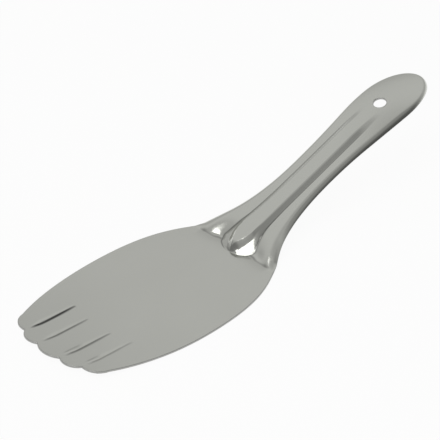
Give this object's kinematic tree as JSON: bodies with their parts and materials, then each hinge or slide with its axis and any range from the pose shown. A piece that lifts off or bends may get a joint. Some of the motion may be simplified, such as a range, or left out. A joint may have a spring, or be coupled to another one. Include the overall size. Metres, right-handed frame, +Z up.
{
  "type": "rice server",
  "caption": "Flat steel rice server pressed from sheet: scalloped blade front with short grooves, a ribbed handle with turned-down edges and a hang hole.",
  "frame": {"origin": "on the surface the blade lies on, under the middle of the server's length, on its centre line", "axes": "+Y from the scalloped front to the end of the handle, +Z up from the surface the blade lies on, +X to the right seen from the front's end towards the handle"},
  "size_m": [0.0734, 0.2334, 0.0393],
  "materials": {
    "steel": "smooth mill-finished stainless sheet, slightly satin"
  },
  "bodies": {
    "root": {"server": "steel"}
  },
  "joints": []
}
